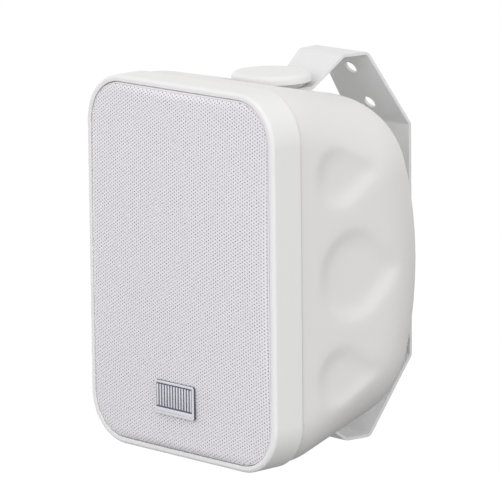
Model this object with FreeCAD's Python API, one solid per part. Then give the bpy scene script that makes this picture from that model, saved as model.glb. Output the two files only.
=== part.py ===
# Two-way wall speaker on a swivel bracket, in millimetres.
# +Z is up, the front faces -Y, and the wall face of the bracket strap lies in the plane Y = 0.
import FreeCAD, Part
import math
import os

os.makedirs("parts", exist_ok=True)
V = FreeCAD.Vector

# Outer form of the front; depths run back from the plane of the rim
FRONT_W = 156.0
FRONT_H = 215.5
CORNER_R = 28.5
STANDOFF = 161.0
RIM_WIDTH = 3.75
RIM_BEVEL_SIDE = 1.6
RIM_BEVEL_FRONT = 0.9
RIM_BEVEL_TIP = 0.8
BAFFLE_FRONT = 8.0
BAFFLE_T = 4.0
BEZEL_DEPTH = 20.8
TONGUE_T = 2.0
TONGUE_LENGTH = 5.0

# Seal in the seam
SEAL_T = 0.5
SEAL_W = 2.2
SEAL_RECESS = 0.2

# Rear cabinet
WALL = 3.0
BODY_INSET = 0.9
FLAT_DEPTH = 34.8
TOP_DRAFT = 11.5
SHOULDER_R = 52.0
BACK_R = 207.0
BACK_DEPTH = 139.0
BACK_EDGE_R = 46.0
EDGE_STEPS = 8
SHOULDER_STEPS = 8
BACK_STEPS = 4
INNER_BEVEL = 34.0
INNER_SHOULDER_STEPS = 3
INNER_BACK_STEPS = 4
SEAT_GAP = 0.3
FIT_GAP = 0.05
FLAT_ENOUGH = 1e-6

# Drop-shaped hollows in the sides: centre depth, centre height, nose radius, tip distance
HOLLOWS = [(53.5, 58.5, 19.5, 37.0), (63.0, 0.0, 27.0, 42.0), (53.5, -58.5, 19.5, 37.0)]
HOLLOW_DEPTH = 2.4
HOLLOW_SLOPE = 3.4
HOLLOW_OVER = 1.0

# Pivots on top and bottom
PIVOT_DEPTH = 73.0
TAB_TOP_Z = 97.5
WASHER_T = 1.5
WASHER_R = 11.0
KNOB_R = 23.0
KNOB_H = 9.5
KNOB_EDGE_R = 3.0
KNOB_EDGE_STEPS = 3
KNOB_FOOT = 1.0
KNOB_NECK_R = 14.0
KNOB_CLEARANCE = 0.6
POCKET_R = 31.0
STUD_R = 3.0
STUD_IN_KNOB = 6.5
INSERT_R = 4.2
INSERT_LENGTH = 13.0
INSERT_BOSS_W = 16.0

# Wall bracket
SHEET = 1.8
TAB_R = 12.5
FOOT_REACH = 18.0
RISE_RUN = 22.0
FLAT_RUN = 17.5
FLAT_TOP_Z = 114.0
STRAP_HALF_H = 69.0
STRAP_W = 50.0
BEND_R = 3.0
ARM_HOLE_R = 4.0
ARM_HOLES = (0.247, 0.739)
WALL_HOLE_R = 3.0
WALL_HOLE_DX = 30.0
WALL_HOLE_DZ = 100.0

# Grille, cloth and nameplate
GRILLE_CREST = 5.0
GRILLE_R_ACROSS = 740.0
GRILLE_R_UP = 2000.0
GRILLE_T = 1.0
GRILLE_GAP = 0.35
CLOTH_DEPTH = 2.4
CLOTH_T = 0.6
PLATE_W = 33.0
PLATE_H = 19.5
PLATE_T = 1.6
PLATE_R = 1.5
PLATE_Z = -73.0
PLATE_FIELD_DEPTH = 0.5
PLATE_BORDER = 1.6

# Woofer
WOOFER_Z = -32.0
FLANGE_W = 11.0
FLANGE_T = 1.2
GASKET_T = 1.0
GASKET_INSET = 3.0
BASKET_R = 54.0
BASKET_T = 1.2
SHELF_R = 33.0
NECK_R = 24.0
SHELF_DEPTH = 30.0
NECK_DEPTH = 42.0
WINDOW_COUNT = 4
WINDOW_SHARE = 0.6
WINDOW_MARGIN = 3.0
ROLL_R = 4.0
ROLL_RISE = 2.6
SURROUND_T = 0.8
CONE_R = 42.0
CONE_T = 0.7
CONE_DEPTH = 20.0
CAP_R = 18.0
CAP_RISE = 5.0
SPIDER_T = 0.6
SPIDER_WAVE = 1.5
SPIDER_FOLDS = 4
COIL_R = 12.5
FORMER_T = 0.3
WINDING_T = 0.6
WINDING_LENGTH = 10.0
POLE_GAP = 0.5
PLATE_GAP = 0.6
TOP_PLATE_T = 5.0
TOP_PLATE_R = 31.0
MAGNET_R = 34.0
MAGNET_BORE_R = 17.0
MAGNET_T = 12.0
YOKE_T = 5.0
YOKE_R = 33.0

# Tweeter
DRIVER_GAP = 2.0
FACE_R = 31.0
FACE_T = 2.0
DOME_R = 12.5
DOME_RISE = 4.0
DOME_T = 0.6
TWEETER_MOTOR_R = 21.0
TWEETER_MOTOR_T = 14.0

# Crossover board on the back of the baffle
BOARD_W = 72.0
BOARD_H = 50.0
BOARD_T = 1.6
BOARD_DEPTH = 30.0
POST_W = 6.0
POST_INSET = 4.0
COIL_OUT_R = 13.0
COIL_IN_R = 6.0
COIL_H = 12.0
CAPACITOR_R = 6.5
CAPACITOR_L = 26.0
RESISTOR_L = 24.0
RESISTOR_W = 8.0

# Line transformer on the back wall
CORE_W = 44.0
CORE_H = 36.0
CORE_T = 16.0
CORE_LEG = 7.0
CORE_Z = 34.0
CORE_BACK = 118.0
WINDING_PROUD = 4.5
WINDING_GAP = 0.2
RAIL_W = 6.0

# Terminal well at the back
WELL_W = 66.0
WELL_H = 40.0
WELL_Z = -34.0
WELL_FLOOR = 124.0
PANEL_T = 2.5
BLOCK_X = -15.0
BLOCK_W = 30.0
BLOCK_H = 26.0
BLOCK_T = 8.0
LEVER_W = 9.0
LEVER_L = 14.0
LEVER_T = 4.0
LEVER_PITCH = 13.0
LEVER_HUB_R = 2.2
LEVER_GAP = 0.4
LEVER_SINK = 3.0
LEVER_PIN_R = 1.0
LEVER_PIN_L = 1.4
WIRE_HOLE_W = 4.5
TAP_X = 18.0
TAP_R = 8.0
TAP_H = 4.0
TAP_GRIP_W = 3.0
TAP_GRIP_H = 4.0
TAP_SHAFT_R = 3.0
TAP_BODY_W = 20.0
TAP_BODY_T = 10.0

# Sides of the turned pieces that stay flat-sided
WIDE_SIDES = 24
SMALL_SIDES = 20
PIN_SIDES = 12
KNOB_SIDES = 32

# Places worked out from the sizes above
FRONT_Y = -STANDOFF
SEAM = BEZEL_DEPTH + SEAL_T
SEAL_INSET = BODY_INSET + SEAL_RECESS
HALF_W = FRONT_W / 2
HALF_H = FRONT_H / 2
BAFFLE_BACK = BAFFLE_FRONT + BAFFLE_T
TONGUE_INSET = BODY_INSET + WALL + SEAT_GAP
BODY_HALF_W = HALF_W - BODY_INSET
BODY_HALF_H = HALF_H - BODY_INSET
PIVOT_Y = FRONT_Y + PIVOT_DEPTH
TAB_Z = TAB_TOP_Z - SHEET
PAD_Z = TAB_Z - WASHER_T
FAR = 2 * (FRONT_H + STANDOFF)
FLANGE_R = BASKET_R + FLANGE_W
TWEETER_Z = WOOFER_Z + FLANGE_R + DRIVER_GAP + FACE_R


# Solids that the pieces are made from
def box(x0, x1, d0, d1, z0, z1):
    return Part.makeBox(x1 - x0, d1 - d0, z1 - z0, V(x0, FRONT_Y + d0, z0))


def rod(radius, d0, d1, x, z):
    return Part.makeCylinder(radius, d1 - d0, V(x, FRONT_Y + d0, z), V(0, 1, 0))


def post(radius, z0, z1, x, y):
    return Part.makeCylinder(radius, z1 - z0, V(x, y, z0), V(0, 0, 1))


def fuse(shapes):
    return shapes[0].multiFuse(shapes[1:]).removeSplitter()


def face_of(points):
    return Part.Face(Part.makePolygon(points + points[:1]))


def closed(faces):
    """The solid inside a closed set of faces."""
    solid = Part.Solid(Part.Shell(faces))
    if solid.Volume < 0:
        solid.reverse()
    return solid


def slab(inset, d0, d1, width=FRONT_W, height=FRONT_H, radius=CORNER_R, z=0.0):
    """A rounded rectangle, inset all round, drawn through a range of depth."""
    a = width / 2 - inset
    b = height / 2 - inset
    r = radius - inset
    k = r * math.sqrt(0.5)
    y = FRONT_Y + d0
    edges = []
    corners = [(1, 1), (-1, 1), (-1, -1), (1, -1)]
    for i, (sx, sz) in enumerate(corners):
        on_side = V(sx * a, y, z + sz * (b - r))
        on_top = V(sx * (a - r), y, z + sz * b)
        middle = V(sx * (a - r + k), y, z + sz * (b - r + k))
        first, last = (on_side, on_top) if sx * sz > 0 else (on_top, on_side)
        nx, nz = corners[(i + 1) % len(corners)]
        if nx != sx:
            following = V(nx * (a - r), y, z + nz * b)
        else:
            following = V(nx * a, y, z + nz * (b - r))
        edges.append(Part.Arc(first, middle, last).toShape())
        edges.append(Part.LineSegment(last, following).toShape())
    return Part.Face(Part.Wire(edges)).extrude(V(0, d1 - d0, 0))


def spun(points, sides, spot):
    """A closed outline of (radius, height) points spun in flat-sided steps; spot sets a point in space."""
    rings = []
    for r, t in points:
        angles = [2 * math.pi * i / sides for i in range(sides)]
        rings.append([spot(r * math.cos(a), r * math.sin(a), t) for a in angles])
    faces = []
    for (r0, _), (r1, _), low, high in zip(points, points[1:] + points[:1], rings, rings[1:] + rings[:1]):
        for i in range(sides):
            k = (i + 1) % sides
            if r0 > 0 and r1 > 0:
                faces.append(face_of([low[i], low[k], high[k], high[i]]))
            elif r0 > 0:
                faces.append(face_of([low[i], low[k], high[i]]))
            elif r1 > 0:
                faces.append(face_of([low[i], high[k], high[i]]))
    return closed(faces).removeSplitter()


def turned(points, x, z, sides):
    """A closed outline of (radius, depth) points turned about an axis along Y."""
    return spun(points, sides, lambda a, b, d: V(x + a, FRONT_Y + d, z + b))


def disc(radius, d0, d1, x, z, sides):
    return turned([(0, d0), (radius, d0), (radius, d1), (0, d1)], x, z, sides)


def ring(outer_r, inner_r, d0, d1, x, z, sides):
    return turned([(outer_r, d0), (outer_r, d1), (inner_r, d1), (inner_r, d0)], x, z, sides)


def upside_down(shape):
    return shape.mirror(V(0, 0, 0), V(0, 0, 1))


def other_side(shape):
    return shape.mirror(V(0, 0, 0), V(1, 0, 0))


# Wall bracket: one bent strip
def shifted(path, distance):
    """The path moved sideways to its right by a distance, with mitred corners."""
    sides = []
    for a, b in zip(path, path[1:]):
        along = (b - a).normalize()
        sides.append(V(0, along.z, -along.y))
    out = []
    for p, before, after in zip(path, sides[:1] + sides, sides + sides[-1:]):
        mid = (before + after).normalize()
        out.append(p + mid * (distance / mid.dot(before)))
    return out


def wall_bracket():
    foot = PIVOT_Y + FOOT_REACH
    upper = [
        V(0, PIVOT_Y - TAB_R - SHEET, TAB_TOP_Z),
        V(0, foot, TAB_TOP_Z),
        V(0, foot + RISE_RUN, FLAT_TOP_Z),
        V(0, foot + RISE_RUN + FLAT_RUN, FLAT_TOP_Z),
        V(0, 0, STRAP_HALF_H),
    ]
    outer = upper + [V(0, p.y, -p.z) for p in reversed(upper)]
    inner = shifted(outer, SHEET)
    strip = face_of(outer + inner[::-1]).extrude(V(STRAP_W, 0, 0))
    strip.translate(V(-STRAP_W / 2, 0, 0))
    for radius, chosen in ((BEND_R + SHEET, 1), (BEND_R, -1)):
        edges = []
        for i, (o, n) in enumerate(zip(outer[1:-1], inner[1:-1])):
            before = outer[i + 1] - outer[i]
            after = outer[i + 2] - outer[i + 1]
            turn = before.y * after.z - before.z * after.y
            convex = o if turn < 0 else n
            hollow = n if turn < 0 else o
            corner = convex if chosen > 0 else hollow
            for e in strip.Edges:
                c = e.CenterOfMass
                if abs(c.x) < FIT_GAP and (V(0, c.y, c.z) - corner).Length < FIT_GAP:
                    edges.append(e)
        strip = strip.makeFillet(radius, edges)
    reach = -PIVOT_Y
    lean = math.asin((STRAP_W / 2 - TAB_R) / reach) if STRAP_W / 2 > TAB_R else 0.0
    start_x = TAB_R * math.cos(lean)
    start_y = PIVOT_Y - TAB_R * math.sin(lean)
    outline = face_of([
        V(-start_x, start_y, -FAR / 2),
        V(start_x, start_y, -FAR / 2),
        V(STRAP_W / 2, 0, -FAR / 2),
        V(-STRAP_W / 2, 0, -FAR / 2),
    ]).extrude(V(0, 0, FAR))
    outline = outline.fuse(post(TAB_R, -FAR / 2, FAR / 2, 0, PIVOT_Y))
    strip = strip.common(outline)
    cuts = [post(STUD_R + FIT_GAP, -FAR / 2, FAR / 2, 0, PIVOT_Y)]
    slope = upper[4] - upper[3]
    across = V(0, -slope.z, slope.y).normalize()
    for share in ARM_HOLES:
        middle = upper[3] + slope * share
        hole = Part.makeCylinder(ARM_HOLE_R, 2 * BEND_R, middle - across * BEND_R, across)
        cuts += [hole, upside_down(hole)]
    for x in (-WALL_HOLE_DX / 2, WALL_HOLE_DX / 2):
        for z in (-WALL_HOLE_DZ / 2, WALL_HOLE_DZ / 2):
            cuts.append(rod(WALL_HOLE_R, STANDOFF - BEND_R, STANDOFF, x, z))
    for c in cuts:
        strip = strip.cut(c)
    return strip.removeSplitter()


# Rear cabinet: a D-shaped moulding with drop-shaped hollows in its sides
class Profile:
    """The side view of the cabinet less an inset: flat top, sloping top, shoulder arc and back arc."""

    def __init__(self, inset):
        self.inset = inset
        self.draft = math.radians(TOP_DRAFT)
        slope = math.tan(self.draft)
        self.half_w = BODY_HALF_W - inset
        self.half_h = BODY_HALF_H - inset
        self.knee = FLAT_DEPTH - inset * math.tan(self.draft / 2)
        self.shoulder_r = SHOULDER_R - inset
        self.hub = BACK_DEPTH - BACK_R
        level = self.half_h + self.knee * slope - self.shoulder_r / math.cos(self.draft)
        a = 1 + slope ** 2
        b = -2 * (self.hub + level * slope)
        c = self.hub ** 2 + level ** 2 - (BACK_R - SHOULDER_R) ** 2
        self.middle_d = (-b + math.sqrt(b * b - 4 * a * c)) / (2 * a)
        self.middle_z = level - self.middle_d * slope
        self.join = math.atan2(self.middle_d - self.hub, self.middle_z)

    def at(self, d, z):
        return V(0, FRONT_Y + d, z)

    def on_shoulder(self, angle):
        r = self.shoulder_r
        return self.at(self.middle_d + r * math.sin(angle), self.middle_z + r * math.cos(angle))

    def back_at(self, angle):
        r = BACK_R - self.inset
        return self.at(self.hub + r * math.sin(angle), r * math.cos(angle))

    def edge(self, place, outward, radius):
        """Points round one long edge, from the side wall over to the top."""
        hub = V(self.half_w - radius, 0, 0) + place - outward * radius
        turns = [math.pi / 2 * i / EDGE_STEPS for i in range(EDGE_STEPS + 1)]
        return [hub + V(radius * math.cos(t), 0, 0) + outward * (radius * math.sin(t)) for t in turns]

    def stations(self):
        """The rounded edge in steps from the seam over the shoulder and back down to the seam."""
        slant = V(0, math.sin(self.draft), math.cos(self.draft))
        bent = (V(0, 0, 1) + slant).normalize() * (1 / math.cos(self.draft / 2))
        run = self.on_shoulder(self.draft).y - FRONT_Y - SEAM
        front_r = CORNER_R - BODY_INSET
        knee_r = front_r + (BACK_EDGE_R - front_r) * (self.knee - SEAM) / run
        upper = [
            self.edge(self.at(SEAM, self.half_h), V(0, 0, 1), front_r),
            self.edge(self.at(self.knee, self.half_h), bent, knee_r),
        ]
        for i in range(SHOULDER_STEPS + 1):
            turn = self.draft + (self.join - self.draft) * i / SHOULDER_STEPS
            outward = V(0, math.sin(turn), math.cos(turn))
            upper.append(self.edge(self.on_shoulder(turn), outward, BACK_EDGE_R))
        for i in range(1, BACK_STEPS + 1):
            turn = self.join + (math.pi / 2 - self.join) * i / BACK_STEPS
            outward = V(0, math.sin(turn), math.cos(turn))
            upper.append(self.edge(self.back_at(turn), outward, BACK_EDGE_R))
        return upper + [[V(p.x, p.y, -p.z) for p in row] for row in reversed(upper[:-1])]

    def form(self):
        """The filled form, its long edges opening from the front corner radius to the back edge radius."""
        rows = []
        for row in self.stations():
            rows.append(row + [V(-p.x, p.y, p.z) for p in reversed(row)])
        faces = [
            face_of([row[0] for row in rows]),
            face_of([row[-1] for row in rows]),
            face_of(rows[0] + rows[-1][::-1]),
        ]
        for low, high in zip(rows, rows[1:]):
            for i in range(len(low) - 1):
                p, q, r, s = low[i], low[i + 1], high[i + 1], high[i]
                lift = (q - p).cross(s - p).dot(r - p)
                if abs(lift) < FLAT_ENOUGH:
                    faces.append(face_of([p, q, r, s]))
                else:
                    faces += [face_of([p, q, r]), face_of([p, r, s])]
        return closed(faces)

    def cavity(self):
        """The space inside, with straight facets and bevelled long edges, open at the front."""
        upper = [self.at(SEAM - INNER_BEVEL, self.half_h), self.at(self.knee, self.half_h)]
        for i in range(INNER_SHOULDER_STEPS + 1):
            upper.append(self.on_shoulder(self.draft + (self.join - self.draft) * i / INNER_SHOULDER_STEPS))
        for i in range(1, INNER_BACK_STEPS):
            upper.append(self.back_at(self.join + (math.pi / 2 - self.join) * i / INNER_BACK_STEPS))
        outline = upper + [V(0, p.y, -p.z) for p in reversed(upper)]
        small = shifted(outline[-1:] + outline + outline[:1], INNER_BEVEL)[1:-1]
        flat = V(self.half_w - INNER_BEVEL, 0, 0)
        wide = V(self.half_w, 0, 0)
        rows = [
            [p - wide for p in small], [p - flat for p in outline],
            [p + flat for p in outline], [p + wide for p in small],
        ]
        faces = [face_of(rows[0]), face_of(rows[-1])]
        for low, high in zip(rows, rows[1:]):
            for i in range(len(low)):
                faces.append(face_of([low[i - 1], low[i], high[i], high[i - 1]]))
        return closed(faces)


def hollow(depth, z, radius, tip):
    """The space of one drop-shaped hollow in the right side wall: a cone drawn out to a tip."""
    y = FRONT_Y + depth
    levels = []
    for height in (HOLLOW_OVER, -HOLLOW_DEPTH):
        r = radius + HOLLOW_SLOPE * height
        levels.append((BODY_HALF_W + height, r, tip * r / radius))
    (x0, r0, t0), (x1, r1, t1) = levels
    nose = Part.makeCone(r0, r1, x0 - x1, V(x0, y, z), V(-1, 0, 0))
    angle = math.acos(radius / tip)
    wires = []
    for x, r, t in levels:
        high = V(x, y + r * math.cos(angle), z + r * math.sin(angle))
        low = V(x, high.y, 2 * z - high.z)
        wires.append(Part.makePolygon([high, V(x, y + t, z), low, high]))
    return nose.fuse(Part.makeLoft(wires, True, True))


def hollow_pad(depth, z, radius, tip):
    """The thicker wall that keeps a hollow closed on the inside."""
    x = BODY_HALF_W - WALL
    return box(x - HOLLOW_DEPTH, x + WALL / 2, depth - radius, depth + tip, z - radius, z + radius)


def rear_cabinet():
    form = Profile(0.0).form()
    inside = Profile(WALL).cavity()
    inside = inside.fuse(slab(BODY_INSET + WALL, SEAM, SEAM + TONGUE_LENGTH))
    for h in HOLLOWS:
        pad = hollow_pad(*h)
        inside = inside.cut([pad, other_side(pad)])
    shell = form.cut(inside)
    well_x = WELL_W / 2 + WALL
    well_z = WELL_H / 2 + WALL
    well = box(-well_x, well_x, WELL_FLOOR - WALL, BACK_DEPTH, WELL_Z - well_z, WELL_Z + well_z)
    added = [well.common(form)]
    half = CORE_H / 2
    for sx in (-1, 1):
        x = sx * (CORE_W - RAIL_W) / 2
        rail = box(x - RAIL_W / 2, x + RAIL_W / 2, CORE_BACK, BACK_DEPTH, CORE_Z - half, CORE_Z + half)
        added.append(rail.common(form))
    a = POCKET_R + WALL
    b = INSERT_BOSS_W / 2
    foot = PAD_Z - INSERT_LENGTH - WALL
    pivot = [
        box(-a, a, PIVOT_DEPTH - a, PIVOT_DEPTH + a, PAD_Z - WALL, HALF_H).common(form),
        box(-b, b, PIVOT_DEPTH - b, PIVOT_DEPTH + b, foot, PAD_Z),
    ]
    added += pivot + [upside_down(p) for p in pivot]
    shell = fuse([shell] + added)
    pocket = post(POCKET_R, PAD_Z, FRONT_H, 0, PIVOT_Y)
    insert_hole = post(INSERT_R + FIT_GAP, PAD_Z - INSERT_LENGTH, PAD_Z, 0, PIVOT_Y)
    cuts = [pocket, insert_hole, upside_down(pocket), upside_down(insert_hole)]
    for h in HOLLOWS:
        cuts += [hollow(*h), other_side(hollow(*h))]
    cuts.append(box(-WELL_W / 2, WELL_W / 2, WELL_FLOOR, STANDOFF, WELL_Z - WELL_H / 2, WELL_Z + WELL_H / 2))
    cuts.append(rod(TAP_SHAFT_R + SEAT_GAP, WELL_FLOOR - WALL, WELL_FLOOR, TAP_X, WELL_Z))
    return shell.cut(cuts).removeSplitter()


# Front baffle with its rim, and the seal in the seam
def front_baffle():
    body = slab(0.0, 0.0, BEZEL_DEPTH)
    for first, second in ((RIM_BEVEL_SIDE, RIM_BEVEL_FRONT), (RIM_BEVEL_TIP, RIM_BEVEL_TIP)):
        front = [e for e in body.Edges if all(abs(v.Point.y - FRONT_Y) < FIT_GAP for v in e.Vertexes)]
        body = body.makeChamfer(first, second, front)
    body = body.cut(slab(RIM_WIDTH, 0.0, BAFFLE_FRONT))
    body = body.cut(slab(TONGUE_INSET + TONGUE_T, BAFFLE_BACK, BEZEL_DEPTH))
    end = BEZEL_DEPTH + TONGUE_LENGTH
    tongue = slab(TONGUE_INSET, BAFFLE_BACK, end).cut(slab(TONGUE_INSET + TONGUE_T, BAFFLE_BACK, end))
    added = [tongue]
    for sx in (-1, 1):
        for sz in (-1, 1):
            x = sx * (BOARD_W / 2 - POST_INSET)
            z = TWEETER_Z + sz * (BOARD_H / 2 - POST_INSET)
            w = POST_W / 2
            added.append(box(x - w, x + w, BAFFLE_BACK, BOARD_DEPTH, z - w, z + w))
    body = fuse([body] + added)
    woofer_hole = disc(BASKET_R + SEAT_GAP, BAFFLE_FRONT, BAFFLE_BACK, 0, WOOFER_Z, WIDE_SIDES)
    tweeter_hole = disc(TWEETER_MOTOR_R + SEAT_GAP, BAFFLE_FRONT, BAFFLE_BACK, 0, TWEETER_Z, WIDE_SIDES)
    return body.cut([woofer_hole, tweeter_hole]).removeSplitter()


def seam_seal():
    return slab(SEAL_INSET, BEZEL_DEPTH, SEAM).cut(slab(SEAL_INSET + SEAL_W, BEZEL_DEPTH, SEAM))


# Grille, the cloth behind it and the nameplate
def domed(crest, thickness):
    """A doubly curved sheet whose middle stands a crest in front of the rim plane."""
    arcs = []
    for level in (crest, crest - thickness):
        r = GRILLE_R_ACROSS - crest + level
        drop = r - math.sqrt(r * r - HALF_W * HALF_W)
        y = FRONT_Y - level
        arcs.append((V(-HALF_W, y + drop, 0), V(0, y, 0), V(HALF_W, y + drop, 0)))
    outer, inner = arcs
    section = Part.Face(Part.Wire([
        Part.Arc(*outer).toShape(),
        Part.LineSegment(outer[2], inner[2]).toShape(),
        Part.Arc(inner[2], inner[1], inner[0]).toShape(),
        Part.LineSegment(inner[0], outer[0]).toShape(),
    ]))
    centre = V(0, FRONT_Y - crest + GRILLE_R_UP, 0)
    swing = math.degrees(math.asin(HALF_H / (GRILLE_R_UP - thickness)))
    section.rotate(centre, V(1, 0, 0), -swing)
    return section.revolve(centre, V(1, 0, 0), 2 * swing)


def grille():
    inset = RIM_WIDTH + GRILLE_GAP
    outline = slab(inset, -2 * GRILLE_CREST, BAFFLE_FRONT)
    sheet = domed(GRILLE_CREST, GRILLE_T).common(outline)
    lip = outline.cut(slab(inset + GRILLE_T, -2 * GRILLE_CREST, BAFFLE_FRONT))
    lip = lip.common(domed(GRILLE_CREST - GRILLE_T / 2, GRILLE_CREST + 2 * BAFFLE_FRONT))
    return sheet.fuse(lip).removeSplitter()


def grille_cloth():
    inset = RIM_WIDTH + GRILLE_GAP + GRILLE_T + SEAT_GAP
    return slab(inset, CLOTH_DEPTH, CLOTH_DEPTH + CLOTH_T)


def nameplate():
    nearest = abs(PLATE_Z) - PLATE_H / 2
    back = nearest * nearest / (2 * GRILLE_R_UP) - GRILLE_CREST - FIT_GAP
    front = back - PLATE_T
    plate = slab(0.0, front, back, PLATE_W, PLATE_H, PLATE_R, PLATE_Z)
    field_r = PLATE_R + PLATE_BORDER
    return plate.cut(slab(PLATE_BORDER, front, front + PLATE_FIELD_DEPTH, PLATE_W, PLATE_H, field_r, PLATE_Z))


# Woofer
FLANGE_FRONT = BAFFLE_FRONT - GASKET_T - FLANGE_T
SHELF = BAFFLE_FRONT + SHELF_DEPTH
MOTOR_FRONT = BAFFLE_FRONT + NECK_DEPTH
MAGNET_FRONT = MOTOR_FRONT + TOP_PLATE_T
MAGNET_BACK = MAGNET_FRONT + MAGNET_T
POLE_R = COIL_R - POLE_GAP
GAP_R = COIL_R + FORMER_T + WINDING_T + PLATE_GAP
SEAT = FLANGE_FRONT + FLANGE_T
LEDGE_R = BASKET_R - 2 * BASKET_T
SURROUND_IN_R = CONE_R - ROLL_R
CONE_FRONT = SEAT - SURROUND_T
FORMER_OUT_R = COIL_R + FORMER_T
CONE_NECK = CONE_FRONT + CONE_DEPTH


def woofer_basket():
    t = BASKET_T
    basket = turned([
        (FLANGE_R, FLANGE_FRONT), (FLANGE_R, SEAT), (BASKET_R, SEAT), (SHELF_R, SHELF + t),
        (NECK_R, SHELF + t), (NECK_R, MOTOR_FRONT), (GAP_R, MOTOR_FRONT), (GAP_R, MOTOR_FRONT - t),
        (NECK_R - t, MOTOR_FRONT - t), (NECK_R - t, SHELF), (SHELF_R - t, SHELF), (LEDGE_R, SEAT + t),
        (CONE_R + ROLL_R, SEAT + t), (CONE_R + ROLL_R, SEAT), (LEDGE_R, SEAT), (LEDGE_R, FLANGE_FRONT),
    ], 0, WOOFER_Z, WIDE_SIDES)
    width = 2 * math.pi * SHELF_R / WINDOW_COUNT * WINDOW_SHARE
    windows = []
    for i in range(WINDOW_COUNT):
        window = box(-width / 2, width / 2, SEAT + WINDOW_MARGIN, SHELF - WINDOW_MARGIN, 0, FLANGE_R)
        window.rotate(V(0, FRONT_Y, 0), V(0, 1, 0), 360.0 * i / WINDOW_COUNT)
        window.translate(V(0, 0, WOOFER_Z))
        windows.append(window)
    return basket.cut(windows).removeSplitter()


def woofer_gasket():
    inner_r = BASKET_R + GASKET_INSET
    return ring(FLANGE_R, inner_r, BAFFLE_FRONT - GASKET_T, BAFFLE_FRONT, 0, WOOFER_Z, WIDE_SIDES)


def woofer_surround():
    t = SURROUND_T
    top = SEAT - t
    crown = (CONE_R + ROLL_R / 2, top - ROLL_RISE)
    return turned([
        (LEDGE_R - SEAT_GAP, SEAT), (LEDGE_R - SEAT_GAP, top), (CONE_R + ROLL_R, top),
        (crown[0] + ROLL_R / 4, crown[1]), (crown[0] - ROLL_R / 4, crown[1]), (CONE_R, top - t),
        (SURROUND_IN_R, top - t), (SURROUND_IN_R, top - SEAT_GAP), (CONE_R, top - SEAT_GAP),
        (crown[0], crown[1] + t + t), (CONE_R + ROLL_R, SEAT),
    ], 0, WOOFER_Z, WIDE_SIDES)


def woofer_cone():
    return turned([
        (CONE_R, CONE_FRONT), (CONE_R, CONE_FRONT + CONE_T), (FORMER_OUT_R + FIT_GAP, CONE_NECK + CONE_T),
        (FORMER_OUT_R + FIT_GAP, CONE_NECK), (SURROUND_IN_R, CONE_FRONT),
    ], 0, WOOFER_Z, WIDE_SIDES)


def cone_depth_at(radius):
    share = (SURROUND_IN_R - radius) / (SURROUND_IN_R - FORMER_OUT_R)
    return CONE_FRONT + CONE_DEPTH * share


def dust_cap():
    seat = cone_depth_at(CAP_R) - FIT_GAP
    t = CONE_T
    return turned([
        (CAP_R, seat), (CAP_R - t, seat + t / 2), (CAP_R / 2, seat - CAP_RISE + t), (0, seat - CAP_RISE),
        (0, seat - CAP_RISE - t), (CAP_R / 2, seat - CAP_RISE),
    ], 0, WOOFER_Z, SMALL_SIDES)


def woofer_spider():
    t = SPIDER_T
    inner = FORMER_OUT_R + SEAT_GAP
    outer = SHELF_R - BASKET_T - SEAT_GAP
    step = (outer - inner) / SPIDER_FOLDS
    front = [(inner + i * step, SHELF - t - (SPIDER_WAVE if i % 2 else 0)) for i in range(SPIDER_FOLDS)]
    front.append((outer, SHELF - t))
    back = [(r, d + t) for r, d in reversed(front)]
    return turned(front + back, 0, WOOFER_Z, SMALL_SIDES)


def voice_coil():
    end = MOTOR_FRONT + (TOP_PLATE_T + WINDING_LENGTH) / 2
    winding = end - WINDING_LENGTH
    wide = FORMER_OUT_R + WINDING_T
    return turned([
        (COIL_R, CONE_NECK), (FORMER_OUT_R, CONE_NECK), (FORMER_OUT_R, winding), (wide, winding),
        (wide, end), (COIL_R, end),
    ], 0, WOOFER_Z, SMALL_SIDES)


def woofer_front_plate():
    return ring(TOP_PLATE_R, GAP_R, MOTOR_FRONT, MAGNET_FRONT, 0, WOOFER_Z, WIDE_SIDES)


def woofer_magnet():
    return ring(MAGNET_R, MAGNET_BORE_R, MAGNET_FRONT, MAGNET_BACK, 0, WOOFER_Z, WIDE_SIDES)


def woofer_yoke():
    back = MAGNET_BACK + YOKE_T
    return turned([
        (0, MOTOR_FRONT), (POLE_R, MOTOR_FRONT), (POLE_R, MAGNET_BACK),
        (YOKE_R, MAGNET_BACK), (YOKE_R, back), (0, back),
    ], 0, WOOFER_Z, WIDE_SIDES)


# Tweeter
FACE_FRONT = BAFFLE_FRONT - FACE_T


def tweeter_faceplate():
    return turned([
        (FACE_R, FACE_FRONT), (FACE_R, BAFFLE_FRONT), (DOME_R + SEAT_GAP, BAFFLE_FRONT),
        (DOME_R + SEAT_GAP, FACE_FRONT + FACE_T / 2), (TWEETER_MOTOR_R, FACE_FRONT),
    ], 0, TWEETER_Z, WIDE_SIDES)


def tweeter_dome():
    d = BAFFLE_FRONT
    t = DOME_T
    return turned([
        (DOME_R, d), (DOME_R - t, d), (DOME_R / 2, d - DOME_RISE + 2 * t), (0, d - DOME_RISE),
        (0, d - DOME_RISE - t), (DOME_R / 2, d - DOME_RISE),
    ], 0, TWEETER_Z, SMALL_SIDES)


def tweeter_motor():
    return disc(TWEETER_MOTOR_R, BAFFLE_FRONT, BAFFLE_FRONT + TWEETER_MOTOR_T, 0, TWEETER_Z, WIDE_SIDES)


# Crossover board and what is on it
PARTS_SIDE = BOARD_DEPTH + BOARD_T


def crossover_board():
    a = BOARD_W / 2
    b = BOARD_H / 2
    return box(-a, a, BOARD_DEPTH, PARTS_SIDE, TWEETER_Z - b, TWEETER_Z + b)


def crossover_coil():
    x = -BOARD_W / 4
    return ring(COIL_OUT_R, COIL_IN_R, PARTS_SIDE, PARTS_SIDE + COIL_H, x, TWEETER_Z, SMALL_SIDES)


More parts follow.
